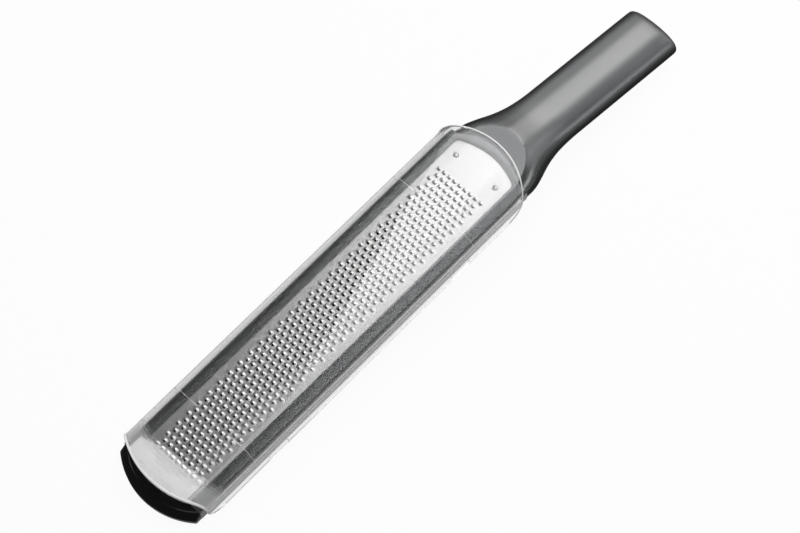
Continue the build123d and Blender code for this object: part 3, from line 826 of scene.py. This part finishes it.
# The table glows to white where the camera sees it, and at less than half that in reflections.
table_material, table_tree, table_shader, _ = finish_of("pale table")
table_shader.inputs["Base Color"].default_value = (0.86, 0.86, 0.86, 1)
table_shader.inputs["Roughness"].default_value = 0.7
white = table_tree.nodes.new("ShaderNodeEmission")
share = add_node(table_tree, "ShaderNodeMath", "MULTIPLY", {1: 0.95})
mirrored = add_node(table_tree, "ShaderNodeMath", "MAXIMUM")
dimmer = add_node(table_tree, "ShaderNodeMath", "MULTIPLY", {1: 0.45})
mixed = table_tree.nodes.new("ShaderNodeMixShader")
wire(table_tree, (straight_sight(table_tree), mirrored.inputs[0]),
     (table_tree.nodes["Light Path"].outputs["Is Glossy Ray"], dimmer.inputs[0]),
     (dimmer.outputs[0], mirrored.inputs[1]), (mirrored.outputs[0], share.inputs[0]),
     (share.outputs[0], mixed.inputs["Fac"]), (table_shader.outputs[0], mixed.inputs[1]),
     (white.outputs[0], mixed.inputs[2]),
     (mixed.outputs[0], table_tree.nodes["Material Output"].inputs["Surface"]))
table = drawn("table", [(-3, -3, 0), (3, -3, 0), (3, 3, 0), (-3, 3, 0)], [(0, 1, 2, 3)])
table.data.materials.append(table_material)

world = bpy.data.worlds.new("studio")
world.use_nodes = True
bpy.context.scene.world = world
sky = world.node_tree.nodes["Background"]
sky.inputs["Color"].default_value = (1, 1, 1, 1)
strength = add_node(world.node_tree, "ShaderNodeMapRange", values={"To Min": 0.13, "To Max": 1.0})
wire(world.node_tree, (straight_sight(world.node_tree), strength.inputs["Value"]),
     (strength.outputs["Result"], sky.inputs["Strength"]))


def softbox(name, place, aim, across, width, height, brightness):
    """A soft light facing a point, at a brightness where 1 is white, its width lying across."""
    lamp = bpy.data.lights.new(name, "AREA")
    lamp.shape, lamp.size, lamp.size_y = "RECTANGLE", width, height
    lamp.energy = 4 * brightness * width * height
    box = bpy.data.objects.new(name, lamp)
    back = (Vector(place) - Vector(aim)).normalized()
    up = back.cross(Vector(across)).normalized()
    box.matrix_world = Matrix.Translation(place) @ Matrix(
        (up.cross(back), up, back)).transposed().to_4x4()
    bpy.context.scene.collection.objects.link(box)
    return box


softbox("overhead softbox", (0.352, 0.012, 0.8), (0.352, 0.012, 0.0), (0.72, -0.69, 0.0),
        0.7, 0.9, 2.1)
warm = softbox("handle softbox", (1.06, 0.374, 0.85), (0.1, 0.0, 0.03), (-0.05, 0.937, -0.349),
               0.62, 0.5, 3.8)
warm.data.color = (1.0, 0.985, 0.955)
far_side = softbox("far side softbox", (0.95, 0.98, 0.5), (0.1, 0.0, 0.03), (0.0, 0.42, 0.9),
                   0.5, 0.6, 1.5)
near_side = softbox("near side strip", (0.73, -0.95, 0.42), (0.0, -0.08, 0.03),
                    (0.77, 0.64, 0.0), 0.74, 0.17, 3.7)
neck_fill = softbox("neck fill", (1.13, -0.10, 0.58), (0.2, 0.0, 0.0), (0.11, 0.99, 0.0),
                    0.5, 0.28, 1.2)
near_fill = softbox("near side fill", (1.10, -0.44, 0.50), (0.2, 0.0, 0.0), (0.44, 0.90, 0.0),
                    0.4, 0.75, 1.0)
handle_only = bpy.data.collections.new("handle only")
handle_only.objects.link(frame_and_handle)
for lamp in (far_side, near_side, near_fill, neck_fill):
    lamp.light_linking.receiver_collection = handle_only
    lamp.visible_transmission = False
glare = softbox("tip glare", (-0.26, 0.39, 1.2), (-0.155, 0.0, 0.0), (1, 0, 0),
                0.35, 0.5, 6.5)
glare.visible_transmission = False
cover_only = bpy.data.collections.new("cover only")
cover_only.objects.link(clear_cover)
glare.light_linking.receiver_collection = cover_only

# Two black cards. One, seen only in reflections under the handle end, is a painted dark
# reflection.
# The other lies in the bar's hollow as painted shade under the teeth.
black, _, black_shader, _ = finish_of("black card")
black_shader.inputs["Base Color"].default_value = (0.01, 0.01, 0.01, 1)
black_shader.inputs["Roughness"].default_value = 0.9
black_card = drawn("black_card", [(0.065, -0.16, 0.0004), (0.4, -0.16, 0.0004),
                                  (0.4, 0.3, 0.0004), (0.065, 0.3, 0.0004)], [(0, 1, 2, 3)])
for seen_by in ("camera", "diffuse", "transmission", "shadow"):
    setattr(black_card, "visible_" + seen_by, False)
# Painted shade: a black sheet in the hollow, where there is only shade.
under = drawn("shade_under_window", [(-95, -20.5, -6.5), (102, -20.5, -6.5), (102, 20.5, -6.5),
                                     (-95, 20.5, -6.5)], [(0, 1, 2, 3)])
under.data.transform(laid)
for card in (black_card, under):
    card.data.materials.append(black)

camera = bpy.data.objects.new("camera", bpy.data.cameras.new("camera"))
camera.location = (-0.42212, -0.35042, 1.04120)
camera.rotation_euler = (math.radians(27.5452), math.radians(-1.8324), math.radians(-46.2612))
camera.data.sensor_width, camera.data.lens = 36.0, 116.512
camera.data.clip_start, camera.data.clip_end = 0.05, 20.0
bpy.context.scene.collection.objects.link(camera)
bpy.context.scene.camera = camera
bpy.context.scene.view_settings.view_transform = "Standard"
